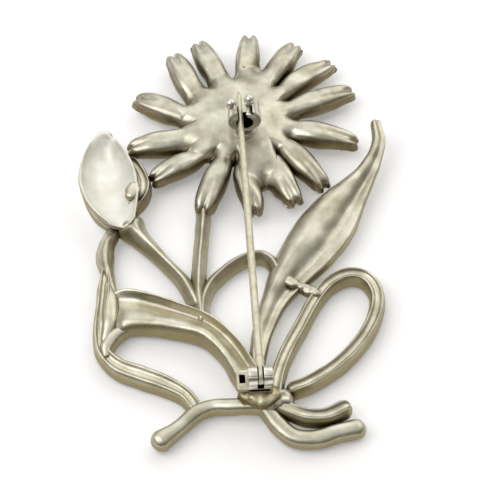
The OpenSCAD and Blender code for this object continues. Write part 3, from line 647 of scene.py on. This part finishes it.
# ---- Bow knot ----
# All the ribbons run into one lump of metal. The hinge is soldered on its top, and flux has
# left it golden brown and uneven there.
knot = strand("bow_knot_casting", [
    (-0.4, -26.6, 2.7, 3.2, 4, 0), (1.2, -26.8, 2.8, 4.4, 4.6, 0), (2.8, -27.1, 2.7, 4.0, 4.2, 0),
    (4.3, -27.2, 2.4, 3.2, 3.3, 0)], GROOVED, waver=0.15, lumps=0.25)
fit_out(knot, flower_metal, "cast_metal", "brooch", "bow_knot")
# Solder with flux baked on it: golden brown and rough
burnt_solder = plated_casting("burnt_solder", "d6cfb2", "a99a72", "76623c", "241606",
                              polish=0.4, grain=1.2)
puddle = strand("hinge_solder", [
    (-0.9, -26.9, 4.3, 2.2, 1.7, 0), (0.5, -27.5, 4.5, 2.8, 1.9, 0), (1.7, -27.7, 4.5, 2.9, 1.9, 0),
    (3.1, -27.1, 4.3, 2.2, 1.6, 0)], GABLED, waver=0.1, lumps=0.16)
fit_out(puddle, burnt_solder, "solder_metal", "brooch")

# ---- Hinge ----
# A stock brooch hinge, pressed from nickel silver and bright plated: two thick round cheeks
# on a foot plate with a punched hole. A rivet passes through both and the stem's eye.
HINGE_AT = Vector(rivet_middle)
PIN_Z = rivet_middle[2]
RIVET_HALF = (rivet_high.x - rivet_low.x) / 2 / mm
# Heights are measured from the rivet's axis
CHEEK_R = 1.4
CHEEK_OUT = RIVET_HALF - 0.1
CHEEK_GAP = 0.45
SHOULDER_Z = -0.9
BLOCK_W = 2 * CHEEK_R - 0.6
BLOCK_FOOT_Z = 4.9 - PIN_Z
SEAM_D = 0.13
SEAM_TURN = 55
PLATE_TOP = -CHEEK_R - 0.25
PLATE_OUT = 1.6
PLATE_T = 0.7
HOLE_W = 0.8
HOLE_L = HOLE_W * 1.7
HOLE_D = 0.5
EDGE_R = 0.12


def bevelled(piece, width):
    """Rounds a piece's sharp edges, as pressing and plating do."""
    bevel = piece.modifiers.new("rounded_edges", "BEVEL")
    bevel.width = width * mm
    bevel.segments = 3
    bevel.limit_method = "ANGLE"
    bevel.angle_limit = math.radians(35)


def slab(name, low_outline, high_outline, at):
    """A straight-sided solid between two outlines with as many points each."""
    n = len(low_outline)
    faces = [tuple(reversed(range(n))), tuple(range(n, 2 * n))]
    faces += [(k, (k + 1) % n, n + (k + 1) % n, n + k) for k in range(n)]
    piece = mesh_piece(name, low_outline + high_outline, faces, at)
    tidy_mesh(piece)
    return piece


def along_x(name, outline, low, high):
    """A slab of the hinge, from an outline of (y, z) pairs."""
    return slab(name, [(low, y, z) for y, z in outline], [(high, y, z) for y, z in outline], HINGE_AT)


def findings_surface(name, face, shade, polish):
    """The smooth surface of a bought finding: fine handling marks, and painted shade where pieces
    meet. Polish is its roughness: low for bright plate, middling for satin wire."""
    material, tree, place = bare_material(name)
    # Faint clouds in the plate, 0.8 mm across
    cloud = add_node(tree, "ShaderNodeTexNoise", {"Scale": 1 / (0.8 * mm), "Detail": 4.0}, {"Vector": place})
    tint = add_node(tree, "ShaderNodeMapRange", {"From Min": 0.35, "From Max": 0.7},
                    {"Value": cloud.outputs["Fac"]})
    plate = add_node(tree, "ShaderNodeMix", {"data_type": "RGBA", 6: linear(face), 7: linear(shade)},
                     {0: tint.outputs["Result"]})
    # Painted shade darkens the colour where pieces meet, within about 0.7 mm
    hollow = add_node(tree, "ShaderNodeAmbientOcclusion", {"samples": 8, "Distance": 0.7 * mm}, {})
    painted_crease_shade = add_node(tree, "ShaderNodeMapRange",
                    {"From Min": 0.55, "From Max": 0.2, "To Min": 0.0, "To Max": 0.92},
                    {"Value": hollow.outputs["AO"]})
    colour = add_node(tree, "ShaderNodeMix", {"data_type": "RGBA", 7: linear("1c150d")},
                      {0: painted_crease_shade.outputs["Result"], 6: plate.outputs[2]})
    rough = add_node(tree, "ShaderNodeMapRange", {"To Min": polish, "To Max": polish + 0.12},
                     {"Value": cloud.outputs["Fac"]})
    # Handling marks of 0.25 mm, coarser than real ones so that they show
    marks = add_node(tree, "ShaderNodeTexNoise", {"Scale": 1 / (0.25 * mm), "Detail": 2.0}, {"Vector": place})
    bump = add_node(tree, "ShaderNodeBump", {"Strength": 0.6, "Distance": 0.008 * mm},
                    {"Height": marks.outputs["Fac"]})
    shader = add_node(tree, "ShaderNodeBsdfPrincipled", {"Metallic": 1.0},
                      {"Base Color": colour.outputs[2], "Roughness": rough.outputs["Result"],
                       "Normal": bump.outputs["Normal"]})
    add_node(tree, "ShaderNodeOutputMaterial", {}, {"Surface": shader.outputs["BSDF"]})
    return material


# Bright nickel plate on pressed nickel silver: close to a mirror
nickel = findings_surface("bright_nickel_plate", "ebe8de", "d6d1c3", 0.26)
cheek_outline = [(-BLOCK_W / 2, BLOCK_FOOT_Z), (-BLOCK_W / 2, SHOULDER_Z)]
# The cheek was rolled, and its seam shows as a fine groove
for a in range(-40, 221, 5):
    r = CHEEK_R - (SEAM_D if a == SEAM_TURN else 0)
    cheek_outline.append((-r * math.cos(math.radians(a)), r * math.sin(math.radians(a))))
cheek_outline += [(BLOCK_W / 2, SHOULDER_Z), (BLOCK_W / 2, BLOCK_FOOT_Z)]
cheeks = [along_x("cheek", cheek_outline, -CHEEK_OUT, -CHEEK_GAP),
          along_x("cheek", cheek_outline, CHEEK_GAP, CHEEK_OUT)]
floor_outline = [(-BLOCK_W / 2, BLOCK_FOOT_Z), (-BLOCK_W / 2, PLATE_TOP),
                 (BLOCK_W / 2, PLATE_TOP), (BLOCK_W / 2, BLOCK_FOOT_Z)]
cheeks.append(along_x("slot_floor", floor_outline, -CHEEK_GAP, CHEEK_GAP))


def rounded_box(low_x, low_y, high_x, high_y, radius, steps=6):
    """The outline of a rectangle with rounded corners, anticlockwise."""
    made = []
    for turn, (x, y) in enumerate(((high_x, high_y), (low_x, high_y), (low_x, low_y), (high_x, low_y))):
        cx = x - radius if x == high_x else x + radius
        cy = y - radius if y == high_y else y + radius
        for k in range(steps + 1):
            a = math.pi / 2 * (turn + k / steps)
            made.append((cx + radius * math.cos(a), cy + radius * math.sin(a)))
    return made


outer = rounded_box(-CHEEK_OUT - PLATE_OUT, -BLOCK_W / 2, CHEEK_OUT, BLOCK_W / 2 + 1, 0.35)
hole_left = -CHEEK_OUT - 0.1 - PLATE_OUT * 0.7
inner = rounded_box(hole_left, 0, hole_left + HOLE_W, HOLE_L, 0.08)
n = len(outer)
levels = [(outer, PLATE_TOP - PLATE_T), (outer, PLATE_TOP), (inner, PLATE_TOP), (inner, PLATE_TOP - HOLE_D)]
points = [(x, y, z) for loop, z in levels for x, y in loop]
faces = [(a + k, a + (k + 1) % n, a + n + (k + 1) % n, a + n + k) for a in (0, n, 2 * n) for k in range(n)]
faces += [tuple(reversed(range(n))), tuple(range(3 * n, 4 * n))]
# The foot plate has dulled, and looks like the castings that it is soldered to
plate = mesh_piece("foot_plate", points, faces, HINGE_AT)
tidy_mesh(plate)
bevelled(plate, EDGE_R)
fit_out(plate, cast_metal, "bright_nickel", "brooch")
hinge = joined("hinge_cheeks_and_block", cheeks)
bevelled(hinge, EDGE_R)
fit_out(hinge, nickel, "bright_nickel", "brooch", "hinge_base")
# A dull black cake fills the hole: painted shadow where the hole lies in shade
HOLE_SHADE_LOW, HOLE_SHADE_HIGH = -0.45, -0.14
painted_hole_shade = findings_surface("painted_black_shade", "0c0a08", "16120d", 0.85)
plug = slab("hole_painted_shadow", [(x, y, PLATE_TOP + HOLE_SHADE_LOW) for x, y in inner],
            [(x, y, PLATE_TOP + HOLE_SHADE_HIGH) for x, y in inner], HINGE_AT)
fit_out(plug, painted_hole_shade, "bright_nickel", "brooch")
# The rivet's two heads are peened over the cheeks
head = [(AXIS_R, 0.0), (0.3, -0.015), (0.52, -0.06), (0.6, -0.16), (0.4, -0.2)]
rivet_outline = [(r, -RIVET_HALF - z) for r, z in head] + [(r, RIVET_HALF + z) for r, z in reversed(head)]
rivet = lathe("hinge_rivet_peened", rivet_outline, HINGE_AT, axis="X")
tidy_mesh(rivet)
fit_out(rivet, nickel, "bright_nickel", "brooch", "hinge_rivet")

# ---- Pin stem ----
# Hard nickel silver wire, drawn and left satin. One end is hammered flat and pierced for
# the rivet; the other is ground to a point that passes through the catch.
_, stem_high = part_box("pin_stem")
STEM_L = stem_high.y / mm - HINGE_AT.y
PAST_CATCH = 4.7
IN_CATCH = 3.3
TAPER_L = 10
WIRE_R = 0.55
NECK_R = 0.42
EYE_END = 1.2
EYE_SQUARE = 0.55
# Drawn nickel silver: satin from the die, and a little yellow
stem_wire_metal = findings_surface("drawn_nickel_silver", "e6e2cd", "d2cdb5", 0.5)
# Each row has a distance from the rivet, half the width there and half the height: first the
# hammered eye and the thicker heel, then the wire, its taper and its point
wire_line = [(-1.2, 0.4, 0.05), (-1.15, 0.4, 0.35), (-1.0, 0.4, 0.67), (-0.7, 0.4, 0.97),
             (-0.3, 0.4, 1.16), (0.1, 0.4, 1.18), (0.6, 0.4, 1.03), (1.0, 0.42, 0.82),
             (1.7, 0.62, 0.74), (2.4, 0.72, 0.72), (2.9, 0.6, 0.6), (3.6, WIRE_R, WIRE_R)]
neck_at = STEM_L - PAST_CATCH - IN_CATCH
wire_line += [(y, WIRE_R, WIRE_R) for y in (8, 14, 20, 26)]
wire_line += [(neck_at - TAPER_L, WIRE_R, WIRE_R), (neck_at - TAPER_L / 2, 0.49, 0.49),
              (neck_at, NECK_R, NECK_R)]
wire_line += [(STEM_L - 1.7, NECK_R, NECK_R), (STEM_L - 1.2, 0.38, 0.38), (STEM_L - 0.6, 0.26, 0.26),
              (STEM_L - 0.12, 0.15, 0.15), (STEM_L - 0.02, 0.08, 0.08)]
sides = 32
points, faces = [], []
for y, half_x, half_z in wire_line:
    square = EYE_SQUARE if y < EYE_END else 1.0
    for k in range(sides):
        c, s = math.cos(2 * math.pi * k / sides), math.sin(2 * math.pi * k / sides)
        x = half_x * math.copysign(abs(c) ** square, c)
        points.append((x, y, half_z * math.copysign(abs(s) ** square, s)))
for i in range(len(wire_line) - 1):
    for k in range(sides):
        a, b = i * sides, (i + 1) * sides
        faces.append((a + k, a + (k + 1) % sides, b + (k + 1) % sides, b + k))
faces += [tuple(range(sides)), tuple(range((len(wire_line) - 1) * sides, len(wire_line) * sides))]
stem = mesh_piece("pin_stem_wire", points, faces, HINGE_AT)
tidy_mesh(stem)
fit_out(stem, stem_wire_metal, "stem_wire", "stem", "pin_stem")

# ---- Safety catch ----
# A stock rotary catch, turned and bright plated. The fixed ring is open at its top and is
# soldered to the flower; the sleeve in it turns by two ball knobs and closes the gap.
ring_low, ring_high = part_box("catch_ring")
CATCH_AT = Vector((box_middle(ring_low, ring_high)[0], ring_low.y / mm, PIN_Z))
CATCH_R = 2.45
CATCH_L = 1.3
CATCH_STEPS = 72
PLAY = 0.05
SLEEVE_R = 1.7
SLEEVE_IN = 1.28
RING_IN = SLEEVE_R + PLAY
SLOT_W = 1.5
RING_SLOT_W = SLOT_W + 0.9
SLOT_TILT = math.radians(16)
FOOT_R = 1.7
FOOT_TOP = 5.5 - PIN_Z
FOOT_LOW = FOOT_TOP - 0.55
BALL_R = 0.84
BALL_TURN = 36
ring = lathe("ring", [(RING_IN, 0), (CATCH_R, 0), (CATCH_R, CATCH_L), (RING_IN, CATCH_L)],
             CATCH_AT, axis="Y", steps=CATCH_STEPS, gap=RING_SLOT_W)
tidy_mesh(ring)
foot = lathe("foot", [(AXIS_R, FOOT_LOW), (FOOT_R, FOOT_LOW), (FOOT_R, FOOT_TOP - 0.2),
                      (FOOT_R - 0.15, FOOT_TOP), (AXIS_R, FOOT_TOP)],
             CATCH_AT + Vector((0, CATCH_L / 2, 0)))
tidy_mesh(foot)
catch = joined("catch_ring_turned", [ring, foot])
bevelled(catch, 0.1)
fit_out(catch, nickel, "bright_nickel", "brooch", "catch_ring")
# The sleeve has a small lip behind the ring and a wide collar before it
LIP_R = SLEEVE_R + 0.25
LIP_AT = -0.3
COLLAR_R = CATCH_R - 0.1
COLLAR_AT = CATCH_L + PLAY
COLLAR_L = 1.4
sleeve = lathe("sleeve", [(SLEEVE_IN, LIP_AT), (LIP_R, LIP_AT), (LIP_R, -PLAY), (SLEEVE_R, -PLAY),
                          (SLEEVE_R, COLLAR_AT), (COLLAR_R, COLLAR_AT),
                          (COLLAR_R, COLLAR_AT + COLLAR_L), (SLEEVE_IN, COLLAR_AT + COLLAR_L)],
               Vector((0, 0, 0)), axis="Y", steps=CATCH_STEPS, gap=SLOT_W)
tidy_mesh(sleeve)
# The bore is painted black as well: painted shade inside the sleeve
for face in sleeve.data.polygons:
    middle = face.center / mm
    face.material_index = 1 if math.hypot(middle.x, middle.z) < SLEEVE_IN + 0.05 else 0
parts = [sleeve]
for turn in (-BALL_TURN, BALL_TURN):
    a = math.radians(turn)
    ball_at = Vector((math.sin(a) * CATCH_R, COLLAR_AT + BALL_R + 0.02, math.cos(a) * CATCH_R))
    ball = [(max(AXIS_R, BALL_R * math.sin(math.radians(t))), -BALL_R * math.cos(math.radians(t)))
            for t in range(0, 181, 12)]
    knob = lathe("knob", ball, ball_at, axis="Z", steps=28)
    tidy_mesh(knob)
    parts.append(knob)
sleeve = joined("catch_sleeve_turned", parts)
# Its slot leans to one side, as it was left
for vertex in sleeve.data.vertices:
    x, z = vertex.co.x, vertex.co.z
    vertex.co.x = x * math.cos(SLOT_TILT) - z * math.sin(SLOT_TILT)
    vertex.co.z = x * math.sin(SLOT_TILT) + z * math.cos(SLOT_TILT)
    vertex.co += CATCH_AT * mm
bevelled(sleeve, 0.07)
fit_out(sleeve, nickel, "bright_nickel", "sleeve", "catch_sleeve")
sleeve.data.materials.append(painted_hole_shade)

# ---- Camera, floor and light ----
# The brooch lies face down on a sheet of white card. Three soft panels and a pale room light
# it, and the camera looks down over the bow.
VIEW_DISTANCE = 300
VIEW_MIDDLE = Vector((0, 0, 3))
azimuth, elevation = math.radians(-3.5), math.radians(55)
scene = bpy.context.scene
scene.view_settings.view_transform = "Standard"
back = Vector((math.sin(azimuth) * math.cos(elevation), -math.cos(azimuth) * math.cos(elevation),
               math.sin(elevation)))
camera = bpy.data.objects.new("camera", bpy.data.cameras.new("camera"))
scene.collection.objects.link(camera)
camera.data.lens = 154.1
camera.data.sensor_width = 36
camera.data.clip_start, camera.data.clip_end = 0.01, 10
camera.location = (LAYOUT_SHIFT + VIEW_MIDDLE + back * VIEW_DISTANCE) * mm
camera.rotation_mode = "QUATERNION"
camera.rotation_quaternion = (-back).to_track_quat("-Z", "Y")
scene.camera = camera

floor_mesh = bpy.data.meshes.new("floor")
# The card lies a hair below the brooch, so that no two faces share a plane
FLOOR_Z = -0.06 * mm
FLOOR_HALF = 1.5
corners = [(x * FLOOR_HALF, y * FLOOR_HALF, FLOOR_Z) for x, y in ((-1, -1), (1, -1), (1, 1), (-1, 1))]
floor_mesh.from_pydata(corners, [], [(0, 1, 2, 3)])
floor = bpy.data.objects.new("floor", floor_mesh)
scene.collection.objects.link(floor)
# Matt uncoated card: hardly any sheen, and it glows a little, so that it stays white
paper = bpy.data.materials.new("white_card")
paper.use_nodes = True
paper_shader = paper.node_tree.nodes["Principled BSDF"]
paper_shader.inputs["Base Color"].default_value = linear("fafafc")
paper_shader.inputs["Roughness"].default_value = 0.9
paper_shader.inputs["Specular IOR Level"].default_value = 0.1
paper_shader.inputs["Emission Color"].default_value = linear("ffffff")
paper_shader.inputs["Emission Strength"].default_value = 0.2
floor.data.materials.append(paper)


def soft_panel(name, direction, distance, width, power, colour):
    """A square softbox that faces the brooch."""
    data = bpy.data.lights.new(name, "AREA")
    data.size = width
    data.energy = power
    data.color = linear(colour)[:3]
    lamp = bpy.data.objects.new(name, data)
    scene.collection.objects.link(lamp)
    aim = Vector(direction).normalized()
    lamp.location = aim * distance
    lamp.rotation_mode = "QUATERNION"
    lamp.rotation_quaternion = (-aim).to_track_quat("-Z", "Y")


soft_panel("left_panel", (-0.56, -0.05, 0.84), 0.5, 0.42, 0.95, "ffffff")
soft_panel("right_panel", (0.6, 0.5, 0.62), 0.5, 0.36, 0.4, "fffaf2")
soft_panel("back_panel", (0.0, 0.75, 0.66), 0.6, 0.45, 0.45, "ffffff")

# The room is pale above and dark low down behind the camera
world = bpy.data.worlds.new("room")
world.use_nodes = True
scene.world = world
tree = world.node_tree
tree.nodes.clear()
direction = add_node(tree, "ShaderNodeTexCoord", {}, {}).outputs["Generated"]
axes = add_node(tree, "ShaderNodeSeparateXYZ", {}, {"Vector": direction})
height = add_node(tree, "ShaderNodeMath", {"operation": "MULTIPLY_ADD", 1: 0.45},
                  {0: axes.outputs["Y"], 2: axes.outputs["Z"]})
ramp = add_node(tree, "ShaderNodeValToRGB", {}, {"Fac": height.outputs[0]})
ramp.color_ramp.elements[0].position = 0.0
ramp.color_ramp.elements[0].color = linear("5a5040")
ramp.color_ramp.elements[1].position = 0.9
ramp.color_ramp.elements[1].color = linear("dededc")
room = add_node(tree, "ShaderNodeBackground", {"Strength": 0.9}, {"Color": ramp.outputs["Color"]})
add_node(tree, "ShaderNodeOutputWorld", {}, {"Surface": room.outputs["Background"]})
